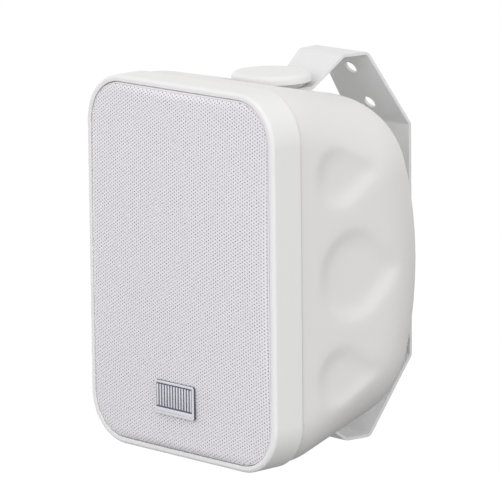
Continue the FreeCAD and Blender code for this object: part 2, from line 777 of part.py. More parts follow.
def crossover_capacitor():
    y = FRONT_Y + PARTS_SIDE + CAPACITOR_R
    z = TWEETER_Z + BOARD_H / 4
    x0 = BOARD_W / 4 - CAPACITOR_L / 2
    x1 = x0 + CAPACITOR_L
    outline = [(0, x0), (CAPACITOR_R, x0), (CAPACITOR_R, x1), (0, x1)]
    return spun(outline, SMALL_SIDES, lambda a, b, x: V(x, y + a, z + b))


def crossover_resistor():
    x = BOARD_W / 4
    z = TWEETER_Z - BOARD_H / 4
    h = RESISTOR_W / 2
    return box(x - RESISTOR_L / 2, x + RESISTOR_L / 2, PARTS_SIDE, PARTS_SIDE + RESISTOR_W, z - h, z + h)


# Line transformer
CORE_FRONT = CORE_BACK - CORE_T
WINDOW_H = CORE_H - 2 * CORE_LEG
LIMB_W = 2 * CORE_LEG


def transformer_core():
    core = box(-CORE_W / 2, CORE_W / 2, CORE_FRONT, CORE_BACK, CORE_Z - CORE_H / 2, CORE_Z + CORE_H / 2)
    low = CORE_Z - WINDOW_H / 2
    side = CORE_W / 2 - CORE_LEG
    left = box(-side, -LIMB_W / 2, CORE_FRONT, CORE_BACK, low, low + WINDOW_H)
    return core.cut([left, other_side(left)])


def transformer_winding():
    g = WINDING_GAP
    a = CORE_W / 2 - CORE_LEG - g
    p = WINDING_PROUD
    low = CORE_Z - WINDOW_H / 2 + g
    high = CORE_Z + WINDOW_H / 2 - g
    winding = box(-a, a, CORE_FRONT - p, CORE_BACK + p, low, high)
    return winding.cut(box(-LIMB_W / 2 - g, LIMB_W / 2 + g, CORE_FRONT - g, CORE_BACK + g, low, high))


# Terminals and tap selector in the well at the back
PANEL_BACK = WELL_FLOOR + PANEL_T
BLOCK_BACK = PANEL_BACK + BLOCK_T
LEVER_AXIS_D = BLOCK_BACK - LEVER_SINK + LEVER_T / 2
LEVER_AXIS_Z = WELL_Z + BLOCK_H / 2 - LEVER_HUB_R - 3 * LEVER_GAP


def terminal_panel():
    a = WELL_W / 2 - SEAT_GAP
    b = WELL_H / 2 - SEAT_GAP
    panel = box(-a, a, WELL_FLOOR, PANEL_BACK, WELL_Z - b, WELL_Z + b)
    return panel.cut(rod(TAP_SHAFT_R + FIT_GAP, WELL_FLOOR, PANEL_BACK, TAP_X, WELL_Z))


def lever_x(side):
    return BLOCK_X + side * LEVER_PITCH / 2


def terminal_block():
    block = box(BLOCK_X - BLOCK_W / 2, BLOCK_X + BLOCK_W / 2, PANEL_BACK, BLOCK_BACK,
                WELL_Z - BLOCK_H / 2, WELL_Z + BLOCK_H / 2)
    cuts = []
    for side in (-1, 1):
        x = lever_x(side)
        w = LEVER_W / 2 + LEVER_GAP
        top = LEVER_AXIS_Z + LEVER_HUB_R + LEVER_GAP
        bottom = LEVER_AXIS_Z - LEVER_L - LEVER_GAP
        cuts.append(box(x - w, x + w, PANEL_BACK, BLOCK_BACK, bottom, top))
        h = WIRE_HOLE_W / 2
        back = BLOCK_BACK - LEVER_T / 2
        cuts.append(box(x - h, x + h, PANEL_BACK + LEVER_GAP, back, WELL_Z - BLOCK_H, bottom))
        reach = LEVER_W / 2 + LEVER_PIN_L
        cuts.append(pin(x - reach, x + reach, LEVER_PIN_R + FIT_GAP))
    return block.cut(cuts)


def pin(x0, x1, radius):
    y = FRONT_Y + LEVER_AXIS_D
    outline = [(0, x0), (radius, x0), (radius, x1), (0, x1)]
    return spun(outline, PIN_SIDES, lambda a, b, x: V(x, y + a, LEVER_AXIS_Z + b))


def lever(side):
    x = lever_x(side) - LEVER_W / 2
    hub = Part.makeCylinder(LEVER_HUB_R, LEVER_W, V(x, FRONT_Y + LEVER_AXIS_D, LEVER_AXIS_Z), V(1, 0, 0))
    t = LEVER_T / 2
    blade = box(x, x + LEVER_W, LEVER_AXIS_D - t, LEVER_AXIS_D + t, LEVER_AXIS_Z - LEVER_L, LEVER_AXIS_Z)
    reach = LEVER_PIN_L - FIT_GAP
    return fuse([hub, blade, pin(x - reach, x + LEVER_W + reach, LEVER_PIN_R)])


def red_lever():
    return lever(-1)


def black_lever():
    return lever(1)


def tap_knob():
    end = PANEL_BACK + TAP_H
    cap = disc(TAP_R, PANEL_BACK, end, TAP_X, WELL_Z, SMALL_SIDES)
    w = TAP_GRIP_W / 2
    grip = box(TAP_X - w, TAP_X + w, end, end + TAP_GRIP_H, WELL_Z - TAP_R + w, WELL_Z + TAP_R - w)
    return fuse([cap, grip, rod(TAP_SHAFT_R, WELL_FLOOR - WALL, PANEL_BACK, TAP_X, WELL_Z)])


def tap_switch():
    a = TAP_BODY_W / 2
    d1 = WELL_FLOOR - WALL
    return box(TAP_X - a, TAP_X + a, d1 - TAP_BODY_T, d1, WELL_Z - a, WELL_Z + a)


# Pivot hardware
def top_knob():
    top = TAB_TOP_Z + KNOB_H
    steepness = (FLAT_TOP_Z - TAB_TOP_Z) / RISE_RUN
    under = TAB_TOP_Z + (KNOB_R - FOOT_REACH) * steepness + KNOB_CLEARANCE
    points = [
        (0, TAB_TOP_Z), (KNOB_NECK_R, TAB_TOP_Z), (KNOB_NECK_R, under),
        (KNOB_R - KNOB_FOOT, under), (KNOB_R, under + KNOB_FOOT),
    ]
    for i in range(KNOB_EDGE_STEPS + 1):
        turn = math.pi / 2 * i / KNOB_EDGE_STEPS
        points.append((KNOB_R - KNOB_EDGE_R * (1 - math.cos(turn)), top - KNOB_EDGE_R * (1 - math.sin(turn))))
    points.append((0, top))
    knob = spun(points, KNOB_SIDES, lambda a, b, z: V(a, PIVOT_Y + b, z))
    return knob.cut(post(STUD_R + FIT_GAP, TAB_TOP_Z, TAB_TOP_Z + STUD_IN_KNOB, 0, PIVOT_Y))


def top_stud():
    return post(STUD_R, PAD_Z - INSERT_LENGTH + STUD_R, TAB_TOP_Z + STUD_IN_KNOB, 0, PIVOT_Y)


def bottom_knob():
    return upside_down(top_knob())


def bottom_stud():
    return upside_down(top_stud())


def about_pivot(outer_r, inner_r, z0, z1):
    """A ring about the pivot and its twin at the other end."""
    outline = [(outer_r, z0), (outer_r, z1), (inner_r, z1), (inner_r, z0)]
    upper = spun(outline, SMALL_SIDES, lambda a, b, z: V(a, PIVOT_Y + b, z))
    return Part.makeCompound([upper, upside_down(upper)])


def pivot_washers():
    return about_pivot(WASHER_R, STUD_R + SEAT_GAP, PAD_Z, TAB_Z)


def pivot_inserts():
    bore_r = (STUD_R + FIT_GAP) / math.cos(math.pi / SMALL_SIDES)
    return about_pivot(INSERT_R, bore_r, PAD_Z - INSERT_LENGTH, PAD_Z)


PARTS = [
    wall_bracket, top_knob, top_stud, bottom_knob, bottom_stud, pivot_washers, pivot_inserts,
    rear_cabinet, front_baffle, seam_seal, grille, grille_cloth, nameplate,
    woofer_basket, woofer_gasket, woofer_surround, woofer_cone, dust_cap, woofer_spider, voice_coil,
    woofer_front_plate, woofer_magnet, woofer_yoke,
    tweeter_faceplate, tweeter_dome, tweeter_motor,
    crossover_board, crossover_coil, crossover_capacitor, crossover_resistor,
    transformer_core, transformer_winding,
    terminal_panel, terminal_block, red_lever, black_lever, tap_knob, tap_switch,
]

for make in PARTS:
    shape = make()
    print(make.__name__, shape.isValid(), len(shape.Solids), round(shape.Volume, 1))
    shape.exportStep("parts/" + make.__name__ + ".step")
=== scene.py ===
import math
import bpy
from mathutils import Matrix, Vector


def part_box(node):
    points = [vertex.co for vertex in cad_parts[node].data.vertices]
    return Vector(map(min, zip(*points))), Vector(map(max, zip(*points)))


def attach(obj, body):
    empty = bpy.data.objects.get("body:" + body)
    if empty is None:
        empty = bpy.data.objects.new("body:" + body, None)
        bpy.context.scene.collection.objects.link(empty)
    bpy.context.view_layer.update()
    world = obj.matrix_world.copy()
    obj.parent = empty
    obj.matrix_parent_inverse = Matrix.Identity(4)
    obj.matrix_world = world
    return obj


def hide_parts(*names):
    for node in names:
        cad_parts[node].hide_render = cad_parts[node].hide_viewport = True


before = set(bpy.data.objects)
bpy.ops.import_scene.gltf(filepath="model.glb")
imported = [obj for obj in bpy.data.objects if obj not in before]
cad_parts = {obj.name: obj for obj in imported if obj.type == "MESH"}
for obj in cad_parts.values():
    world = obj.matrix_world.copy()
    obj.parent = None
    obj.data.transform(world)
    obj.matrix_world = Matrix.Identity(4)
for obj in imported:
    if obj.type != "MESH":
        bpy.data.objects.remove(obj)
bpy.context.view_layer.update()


# Radius of the front's corners, in metres as every size here
MM = 0.001
CORNER_R = 28.5 * MM

# Main sizes and places of the speaker, read from its solids
BAFFLE_LOW, BAFFLE_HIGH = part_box("front_baffle")
GRILLE_LOW, GRILLE_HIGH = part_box("grille")
KNOB_LOW, KNOB_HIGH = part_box("top_knob")
PANEL_LOW, PANEL_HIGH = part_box("terminal_panel")
TAP_LOW, TAP_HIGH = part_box("tap_knob")
FRONT_Y = BAFFLE_LOW.y
FRONT_W = BAFFLE_HIGH.x - BAFFLE_LOW.x
FRONT_H = BAFFLE_HIGH.z - BAFFLE_LOW.z
RIM_INSET = GRILLE_LOW.x - BAFFLE_LOW.x
SEAM_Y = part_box("rear_cabinet")[0].y
BRACKET_TOP_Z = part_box("wall_bracket")[1].z
PIVOT_Y = (KNOB_LOW.y + KNOB_HIGH.y) / 2
TAB_TOP_Z = KNOB_LOW.z
PANEL_BACK = PANEL_HIGH.y
WELL_Z = (PANEL_LOW.z + PANEL_HIGH.z) / 2
TAP_X = (TAP_LOW.x + TAP_HIGH.x) / 2

# Tests for faces and edges that lie square to an axis, and turns that lay a round piece along one
SQUARE = 0.9
FLAT = 0.99
LEVEL = 0.2
EDGE_ON = 0.1
ALONG_X = (0, math.pi / 2, 0)
ALONG_Y = (math.pi / 2, 0, 0)
ALONG_Z = (0, 0, 0)

# Reach within which points are merged, in a copied solid and along a cut
COPY_WELD = 0.004 * MM
CUT_WELD = 0.01 * MM


# Tools of the workbench
def only_nothing():
    if bpy.context.object and bpy.context.object.mode != "OBJECT":
        bpy.ops.object.mode_set(mode="OBJECT")
    bpy.ops.object.select_all(action="DESELECT")


def only(*objects):
    only_nothing()
    for obj in objects:
        obj.select_set(True)
    bpy.context.view_layer.objects.active = objects[0]


def edit(obj, kind="FACE"):
    only(obj)
    bpy.context.tool_settings.mesh_select_mode = (kind == "VERT", kind == "EDGE", kind == "FACE")
    bpy.ops.object.mode_set(mode="EDIT")


def edit_all(obj):
    edit(obj)
    bpy.ops.mesh.select_all(action="SELECT")


def leave_edit():
    bpy.ops.object.mode_set(mode="OBJECT")


def pick(obj, kind, wanted):
    """Selects the faces, edges or points of a piece that a test on their middle and way wants."""
    only(obj)
    mesh = obj.data
    for group in (mesh.polygons, mesh.edges, mesh.vertices):
        group.foreach_set("select", [False] * len(group))
    if kind == "FACE":
        for face in mesh.polygons:
            face.select = wanted(face.center, face.normal)
    elif kind == "EDGE":
        for e in mesh.edges:
            a, b = (mesh.vertices[i].co for i in e.vertices)
            e.select = wanted((a + b) / 2, (b - a).normalized())
        for e in mesh.edges:
            if e.select:
                for i in e.vertices:
                    mesh.vertices[i].select = True
    else:
        for v in mesh.vertices:
            v.select = wanted(v.co, v.normal)
    edit(obj, kind)


def merge_points(obj, reach):
    edit_all(obj)
    bpy.ops.mesh.remove_doubles(threshold=reach)
    leave_edit()


def flatten_facets(obj, degrees=0.5):
    """Joins the triangles of each flat face."""
    edit_all(obj)
    bpy.ops.mesh.dissolve_limited(angle_limit=math.radians(degrees))
    leave_edit()


def apply_all(obj):
    only(obj)
    for modifier in list(obj.modifiers):
        bpy.ops.object.modifier_apply(modifier=modifier.name)


def round_off(obj, width, segments=3, degrees=30.0):
    """Rounds every crease of a piece by a small radius."""
    rounding = obj.modifiers.new("rounding", "BEVEL")
    rounding.width = width
    rounding.segments = segments
    rounding.limit_method = "ANGLE"
    rounding.angle_limit = math.radians(degrees)
    rounding.use_clamp_overlap = True
    rounding.harden_normals = False
    apply_all(obj)


def carve(obj, tool, operation):
    """Cuts a piece with a tool, or keeps what both hold, and takes the tool away."""
    cut = obj.modifiers.new("cut", "BOOLEAN")
    cut.operation = operation
    cut.object = tool
    apply_all(obj)
    bpy.data.objects.remove(tool)


def smooth(obj, degrees):
    only(obj)
    bpy.ops.object.shade_smooth_by_angle(angle=math.radians(degrees))


def even_normals(obj):
    """Lets the large faces carry the shading, so that narrow bevels read as rounds."""
    even = obj.modifiers.new("even_normals", "WEIGHTED_NORMAL")
    even.keep_sharp = True
    even.weight = 80
    apply_all(obj)


def place_mesh(obj):
    """Puts a piece's place, turn and size into its mesh."""
    only(obj)
    bpy.ops.object.transform_apply(location=True, rotation=True, scale=True)


def block(name, low, high):
    """A box primitive between two corners, ready to be shaped."""
    only_nothing()
    middle = [(a + b) / 2 for a, b in zip(low, high)]
    bpy.ops.mesh.primitive_cube_add(size=1.0, location=middle)
    obj = bpy.context.object
    obj.name = name
    obj.scale = [b - a for a, b in zip(low, high)]
    place_mesh(obj)
    return obj


def drum(name, radius, length, middle, turn, sides):
    """A round primitive along one axis, ready to be shaped."""
    only_nothing()
    bpy.ops.mesh.primitive_cylinder_add(
        vertices=sides, radius=radius, depth=length, rotation=turn, location=middle)
    obj = bpy.context.object
    obj.name = name
    place_mesh(obj)
    return obj


def copy_of(node, name):
    """A merged copy of a solid, to be finished as its own piece."""
    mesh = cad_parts[node].data.copy()
    mesh.materials.clear()
    obj = bpy.data.objects.new(name, mesh)
    bpy.context.scene.collection.objects.link(obj)
    merge_points(obj, COPY_WELD)
    return obj


def twin_of(piece, shift, turn=0.0):
    """A copy of a piece with its own mesh, turned about the depth and then shifted."""
    twin = piece.copy()
    twin.data = piece.data.copy()
    bpy.context.scene.collection.objects.link(twin)
    twin.rotation_euler = (0, turn, 0)
    twin.location = shift
    place_mesh(twin)
    return twin


def joined(name, *pieces):
    only(*pieces)
    bpy.ops.object.join()
    pieces[0].name = name
    return pieces[0]


def finish(obj, material, body, slot, *nodes):
    obj.data.materials.clear()
    obj.data.materials.append(material)
    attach(obj, body)
    if nodes:
        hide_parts(*nodes)


# Finishes
SURFACE_INPUTS = (("Grain Scale", 900.0), ("Grain Depth", 0.2), ("Patch Scale", 14.0), ("Patch Depth", 0.02))
RELIEF_DEPTH = 0.4 * MM
RELIEF_STRENGTH = 0.3


def surface_group():
    """Fine moulded grain and slow unevenness, shared by the painted and moulded finishes."""
    group = bpy.data.node_groups.new("fine_surface", "ShaderNodeTree")
    io = group.interface
    for label, default in SURFACE_INPUTS:
        socket = io.new_socket(label, in_out="INPUT", socket_type="NodeSocketFloat")
        socket.default_value = default
    base = io.new_socket("Color", in_out="INPUT", socket_type="NodeSocketColor")
    base.default_value = (0.8, 0.8, 0.8, 1)
    rough = io.new_socket("Roughness", in_out="INPUT", socket_type="NodeSocketFloat")
    rough.default_value = 0.45
    io.new_socket("Color", in_out="OUTPUT", socket_type="NodeSocketColor")
    io.new_socket("Roughness", in_out="OUTPUT", socket_type="NodeSocketFloat")
    io.new_socket("Height", in_out="OUTPUT", socket_type="NodeSocketFloat")
    nodes, links = group.nodes, group.links

    def maths(operation, first, second):
        node = nodes.new("ShaderNodeMath")
        node.operation = operation
        links.new(first, node.inputs[0])
        if isinstance(second, float):
            node.inputs[1].default_value = second
        else:
            links.new(second, node.inputs[1])
        return node.outputs[0]

    start = nodes.new("NodeGroupInput")
    end = nodes.new("NodeGroupOutput")
    place = nodes.new("ShaderNodeTexCoord")
    grain = nodes.new("ShaderNodeTexNoise")
    grain.inputs["Detail"].default_value = 3.0
    patch = nodes.new("ShaderNodeTexNoise")
    patch.inputs["Detail"].default_value = 2.0
    for tex, label in ((grain, "Grain Scale"), (patch, "Patch Scale")):
        links.new(place.outputs["Object"], tex.inputs["Vector"])
        links.new(start.outputs[label], tex.inputs["Scale"])
    centred = maths("SUBTRACT", patch.outputs["Fac"], 0.5)
    amount = maths("MULTIPLY", centred, start.outputs["Patch Depth"])
    gain = maths("ADD", amount, 1.0)
    tint = nodes.new("ShaderNodeVectorMath")
    tint.operation = "SCALE"
    links.new(start.outputs["Color"], tint.inputs[0])
    links.new(gain, tint.inputs["Scale"])
    links.new(tint.outputs[0], end.inputs["Color"])
    links.new(maths("ADD", start.outputs["Roughness"], amount), end.inputs["Roughness"])
    height = maths("MULTIPLY", grain.outputs["Fac"], start.outputs["Grain Depth"])
    links.new(height, end.inputs["Height"])
    return group


FINE_SURFACE = surface_group()


def coat(name, color, roughness, grain=900.0, depth=0.2, patch=14.0, vary=0.02, metallic=0.0):
    """A finish of one colour with fine grain in its relief and slow patches in its colour and gloss."""
    material = bpy.data.materials.new(name)
    material.use_nodes = True
    nodes, links = material.node_tree.nodes, material.node_tree.links
    shader = nodes["Principled BSDF"]
    shader.inputs["Metallic"].default_value = metallic
    group = nodes.new("ShaderNodeGroup")
    group.node_tree = FINE_SURFACE
    group.inputs["Color"].default_value = (*color, 1)
    group.inputs["Roughness"].default_value = roughness
    group.inputs["Grain Scale"].default_value = grain
    group.inputs["Grain Depth"].default_value = depth
    group.inputs["Patch Scale"].default_value = patch
    group.inputs["Patch Depth"].default_value = vary
    relief = nodes.new("ShaderNodeBump")
    relief.inputs["Distance"].default_value = RELIEF_DEPTH
    relief.inputs["Strength"].default_value = RELIEF_STRENGTH
    links.new(group.outputs["Color"], shader.inputs["Base Color"])
    links.new(group.outputs["Roughness"], shader.inputs["Roughness"])
    links.new(group.outputs["Height"], relief.inputs["Height"])
    links.new(relief.outputs["Normal"], shader.inputs["Normal"])
    return material


white_moulding = coat("white_moulding", (0.81, 0.806, 0.797), 0.75)
cabinet_moulding = coat("cabinet_moulding", (0.775, 0.768, 0.757), 0.55, grain=700.0, depth=0.3)
white_powder = coat("white_powder_coat", (0.76, 0.76, 0.76), 0.45, grain=1400.0, depth=0.4)
grille_enamel = coat("grille_enamel", (0.785, 0.773, 0.795), 0.5, grain=1600.0)
pale_cloth = coat("acoustic_cloth", (0.72, 0.71, 0.74), 0.95, grain=2600.0, depth=0.8, vary=0.1)
seam_rubber = coat("seam_rubber", (0.30, 0.30, 0.30), 0.8, vary=0.1)
washer_rubber = coat("washer_rubber", (0.05, 0.05, 0.05), 0.8, vary=0.1)
plate_pale = coat("plate_border", (0.72, 0.72, 0.74), 0.4)
plate_dark = coat("plate_field", (0.10, 0.11, 0.17), 0.5, vary=0.08)
zinc_steel = coat("zinc_plated_steel", (0.60, 0.61, 0.62), 0.35, grain=300.0, metallic=1.0, vary=0.1)
turned_brass = coat("turned_brass", (0.66, 0.48, 0.22), 0.35, grain=300.0, metallic=1.0, vary=0.1)
black_moulding = coat("black_moulding", (0.03, 0.03, 0.032), 0.5, vary=0.15)
red_moulding = coat("red_moulding", (0.45, 0.02, 0.02), 0.4, vary=0.1)
black_steel = coat("black_steel", (0.03, 0.03, 0.03), 0.5, vary=0.1)
cone_pulp = coat("cone_pulp", (0.035, 0.035, 0.035), 0.9, grain=500.0, depth=0.8, vary=0.3)
spider_weave = coat("spider_weave", (0.55, 0.40, 0.18), 0.9, grain=1500.0, depth=0.8, vary=0.2)
copper_wire = coat("copper_wire", (0.62, 0.27, 0.11), 0.35, grain=700.0, metallic=1.0, vary=0.2)
ferrite = coat("ferrite", (0.06, 0.06, 0.06), 0.7, grain=600.0, depth=0.6, vary=0.2)
dome_weave = coat("dome_weave", (0.09, 0.09, 0.10), 0.8, grain=2500.0, depth=0.7, vary=0.2)
board_resist = coat("board_resist", (0.03, 0.16, 0.05), 0.4, vary=0.2)
blue_sleeve = coat("capacitor_sleeve", (0.03, 0.08, 0.30), 0.3, vary=0.1)
white_cement = coat("resistor_cement", (0.70, 0.68, 0.62), 0.85, depth=0.6, vary=0.1)
core_sheets = coat("core_sheets", (0.25, 0.25, 0.27), 0.45, metallic=1.0, vary=0.2)
yellow_tape = coat("winding_tape", (0.62, 0.46, 0.06), 0.5, vary=0.1)

NODE_FINISH = {
    "wall_bracket": white_powder, "top_knob": white_moulding, "bottom_knob": white_moulding,
    "rear_cabinet": cabinet_moulding, "front_baffle": white_moulding, "grille": grille_enamel,
    "grille_cloth": pale_cloth, "nameplate": plate_pale, "seam_seal": seam_rubber,
    "pivot_washers": washer_rubber, "pivot_inserts": turned_brass,
    "top_stud": zinc_steel, "bottom_stud": zinc_steel,
    "woofer_basket": black_steel, "woofer_gasket": washer_rubber, "woofer_surround": washer_rubber,
    "woofer_cone": cone_pulp, "dust_cap": cone_pulp, "woofer_spider": spider_weave,
    "voice_coil": copper_wire, "woofer_front_plate": zinc_steel, "woofer_magnet": ferrite,
    "woofer_yoke": zinc_steel, "tweeter_faceplate": black_moulding, "tweeter_dome": dome_weave,
    "tweeter_motor": black_steel, "crossover_board": board_resist, "crossover_coil": copper_wire,
    "crossover_capacitor": blue_sleeve, "crossover_resistor": white_cement,
    "transformer_core": core_sheets, "transformer_winding": yellow_tape,
    "terminal_panel": black_moulding, "terminal_block": black_moulding, "red_lever": red_moulding,
    "black_lever": black_moulding, "tap_knob": black_moulding, "tap_switch": black_moulding,
}
for node, material in NODE_FINISH.items():
    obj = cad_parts[node]
    obj.data.materials.clear()
    obj.data.materials.append(material)


# Rear cabinet: the moulding with the softened rims of its drop-shaped hollows
PLUG_INSET = 2.4 * MM
PLUG_T = 4.0 * MM
TAP_PLUG_HALF = 5.0 * MM
TAP_PLUG_T = 2.4 * MM
TAP_PLUG_SINK = 2.7 * MM
SKIN_STEP = 1.4 * MM
SEAM_BAND = 0.7 * MM
STILL_BAND = 3.0 * MM
HOLLOW_X = 62.0 * MM
HOLLOW_FADE = 6.0 * MM
WELL_REACH_X = 38.0 * MM
WELL_REACH_Z = 25.0 * MM
PIVOT_REACH = 36.0 * MM
SEAM_REACH = 4.0 * MM
OPEN_FADE = 8.0 * MM
SMOOTHING = {"behind_seam": 3, "open_skin": 30, "hollow_sides": 6}


def plugged_cabinet():
    """The moulding with its open front and its tap hole plugged, so that it has an outer skin."""
    shell = copy_of("rear_cabinet", "cabinet_shell")
    half_w = FRONT_W / 2 - PLUG_INSET
    half_h = FRONT_H / 2 - PLUG_INSET
    front_plug = block("front_plug", (-half_w, SEAM_Y, -half_h), (half_w, SEAM_Y + PLUG_T, half_h))
    pick(front_plug, "EDGE", lambda middle, along: abs(along.y) > SQUARE)
    bpy.ops.mesh.bevel(offset=CORNER_R - PLUG_INSET, segments=12, affect="EDGES")
    tap_y = PANEL_LOW.y - TAP_PLUG_SINK
    tap_plug = block("tap_plug", (TAP_X - TAP_PLUG_HALF, tap_y, WELL_Z - TAP_PLUG_HALF),
                     (TAP_X + TAP_PLUG_HALF, tap_y + TAP_PLUG_T, WELL_Z + TAP_PLUG_HALF))
    return joined("cabinet_shell", shell, front_plug, tap_plug)


def outer_skin(body):
    """The outer skin of the plugged moulding, open at the seam."""
    skin = body.modifiers.new("skin", "REMESH")
    skin.mode = "VOXEL"
    skin.voxel_size = SKIN_STEP
    apply_all(body)
    edit_all(body)
    bpy.ops.mesh.separate(type="LOOSE")
    leave_edit()
    islands = sorted(bpy.context.selected_objects, key=lambda island: -max(island.dimensions))
    for spare in islands[1:]:
        bpy.data.objects.remove(spare)
    shell = islands[0]
    shell.name = "cabinet_shell"
    pick(shell, "FACE", lambda middle, normal: normal.y < -SQUARE and middle.y < SEAM_Y + SEAM_BAND)
    bpy.ops.mesh.delete(type="FACE")
    only(shell)
    return shell


def smoothing_groups(shell):
    """Weights for all that lies behind the seam, for the open skin and for the hollowed sides."""
    groups = {name: shell.vertex_groups.new(name=name) for name in SMOOTHING}
    for v in shell.data.vertices:
        behind = v.co.y - SEAM_Y
        if behind <= STILL_BAND:
            continue
        from_well = max(abs(v.co.x) - WELL_REACH_X, abs(v.co.z - WELL_Z) - WELL_REACH_Z)
        from_pivot = math.hypot(v.co.x, v.co.y - PIVOT_Y) - PIVOT_REACH
        weights = {
            "behind_seam": 1.0,
            "open_skin": min(from_well, from_pivot, behind - SEAM_REACH) / OPEN_FADE,
            "hollow_sides": (abs(v.co.x) - HOLLOW_X) / HOLLOW_FADE,
        }
        for name, weight in weights.items():
            if weight > 0:
                groups[name].add([v.index], min(1.0, weight), "REPLACE")


def cabinet_shell():
    shell = outer_skin(plugged_cabinet())
    smoothing_groups(shell)
    for name, rounds in SMOOTHING.items():
        ease = shell.modifiers.new(name, "SMOOTH")
        ease.factor = 0.5
        ease.iterations = rounds
        ease.vertex_group = name
    apply_all(shell)
    shell.vertex_groups.clear()
    only(shell)
    bpy.ops.object.shade_smooth()
    finish(shell, cabinet_moulding, "speaker", "white_plastic", "rear_cabinet")


# Front frame with its rounded rim
RIM_ROUND = 0.4 * MM
RIM_DEPTH = 2.2 * MM


def front_frame():
    frame_piece = copy_of("front_baffle", "front_frame")
    flatten_facets(frame_piece)
    rim_back = FRONT_Y + RIM_DEPTH
    pick(frame_piece, "EDGE", lambda middle, along: abs(along.y) < LEVEL and middle.y < rim_back)
    bpy.ops.mesh.bevel(offset=RIM_ROUND, segments=3, affect="EDGES")
    leave_edit()
    smooth(frame_piece, 50)
    even_normals(frame_piece)
    finish(frame_piece, white_moulding, "speaker", "white_plastic", "front_baffle")


# Grille: a domed sheet with a fine triangular grid of holes and a folded edge
HOLE_PITCH = 2.0 * MM
COLUMN_PITCH = HOLE_PITCH * math.sqrt(0.75)
HOLE_R = 0.47 * MM
HOLE_SIDES = 6
HOLE_BORDER = 0.9 * MM
SHEET_T = 0.8 * MM
GRILLE_CREST = 5.0 * MM
DOME_R_ACROSS = 740.0 * MM
DOME_R_UP = 2000.0 * MM
ROLL_W = 5.0 * MM
EDGE_Y = FRONT_Y + 0.8 * MM
LONG_EDGE = 30.0 * MM
EDGE_CUTS = 24
LIP_PULL = 1.0 * MM

# Widths of the folded edge's rings, and by distance from the outline how far each lies behind the face
EDGE_RINGS = (0.12 * MM, 0.25 * MM, 0.45 * MM)
EDGE_SINKS = ((0.06 * MM, 0.5 * MM), (0.2 * MM, 0.14 * MM), (0.6 * MM, -0.02 * MM), (2.0 * MM, 0.03 * MM))


def edge_gap(x, z):
    """How far inside the grille's rounded outline a point lies, and the way to that outline."""
    half_w = FRONT_W / 2 - RIM_INSET
    half_h = FRONT_H / 2 - RIM_INSET
    r = CORNER_R - RIM_INSET
    sx = 1.0 if x >= 0 else -1.0
    sz = 1.0 if z >= 0 else -1.0
    px, pz = abs(x) - (half_w - r), abs(z) - (half_h - r)
    if px > 0 and pz > 0:
        reach = math.hypot(px, pz)
        return r - reach, Vector((sx * px / reach, 0, sz * pz / reach))
    if half_w - abs(x) < half_h - abs(z):
        return half_w - abs(x), Vector((sx, 0, 0))
    return half_h - abs(z), Vector((0, 0, sz))


def grille_front(x, z):
    """Depth of the domed sheet's outer face, with its edge rolled back."""
    drop = DOME_R_ACROSS - math.sqrt(DOME_R_ACROSS ** 2 - x * x)
    dome = FRONT_Y - GRILLE_CREST + DOME_R_UP - math.sqrt((DOME_R_UP - drop) ** 2 - z * z)
    roll = 1.0 - min(1.0, max(0.0, edge_gap(x, z)[0] / ROLL_W))
    return dome + (EDGE_Y - dome) * (1.0 - math.sqrt(1.0 - roll * roll))


def hole_rim(x, z):
    """The corners of one hole, pushed in where they would cross the sheet's border."""
    rim = []
    for k in range(HOLE_SIDES):
        turn = 2 * math.pi * k / HOLE_SIDES
        px, pz = x + HOLE_R * math.cos(turn), z + HOLE_R * math.sin(turn)
        gap, way = edge_gap(px, pz)
        push = min(0.0, gap - HOLE_BORDER)
        rim.append((px + way.x * push, pz + way.z * push))
    return rim


def perforated_sheet():
    """Six-sided holes on a triangular grid; webs of quads and triangles join their rims."""
    columns = int(FRONT_W / 2 / COLUMN_PITCH) + 1
    rows = int(FRONT_H / 2 / HOLE_PITCH) + 1
    points, first = [], {}
    for c in range(-columns, columns + 1):
        for r in range(-rows, rows + 1):
            x = c * COLUMN_PITCH
            z = (r + (c % 2) / 2) * HOLE_PITCH
            if edge_gap(x, z)[0] < -HOLE_R:
                continue
            first[c, r] = len(points)
            rim = hole_rim(x, z)
            points += [(px, grille_front(px, pz), pz) for px, pz in rim]
            points += [(px, grille_front(px, pz) + SHEET_T, pz) for px, pz in rim]
    faces = []
    for (c, r), start in first.items():
        back = start + HOLE_SIDES
        for k in range(HOLE_SIDES):
            n = (k + 1) % HOLE_SIDES
            faces.append((start + k, start + n, back + n, back + k))
        up_row = r + c % 2
        above = first.get((c, r + 1))
        right_up = first.get((c + 1, up_row))
        right_down = first.get((c + 1, up_row - 1))
        if above is not None:
            faces.append((start + 1, start + 2, above + 4, above + 5))
        if right_up is not None:
            faces.append((start + 0, start + 1, right_up + 3, right_up + 4))
        if right_down is not None:
            faces.append((start + 5, start + 0, right_down + 2, right_down + 3))
        if above is not None and right_up is not None:
            faces.append((start + 1, above + 5, right_up + 3))
        if right_up is not None and right_down is not None:
            faces.append((start + 0, right_up + 4, right_down + 2))
    mesh = bpy.data.meshes.new("perforated_sheet")
    mesh.from_pydata(points, [], faces)
    sheet = bpy.data.objects.new("perforated_sheet", mesh)
    bpy.context.scene.collection.objects.link(sheet)
    return sheet


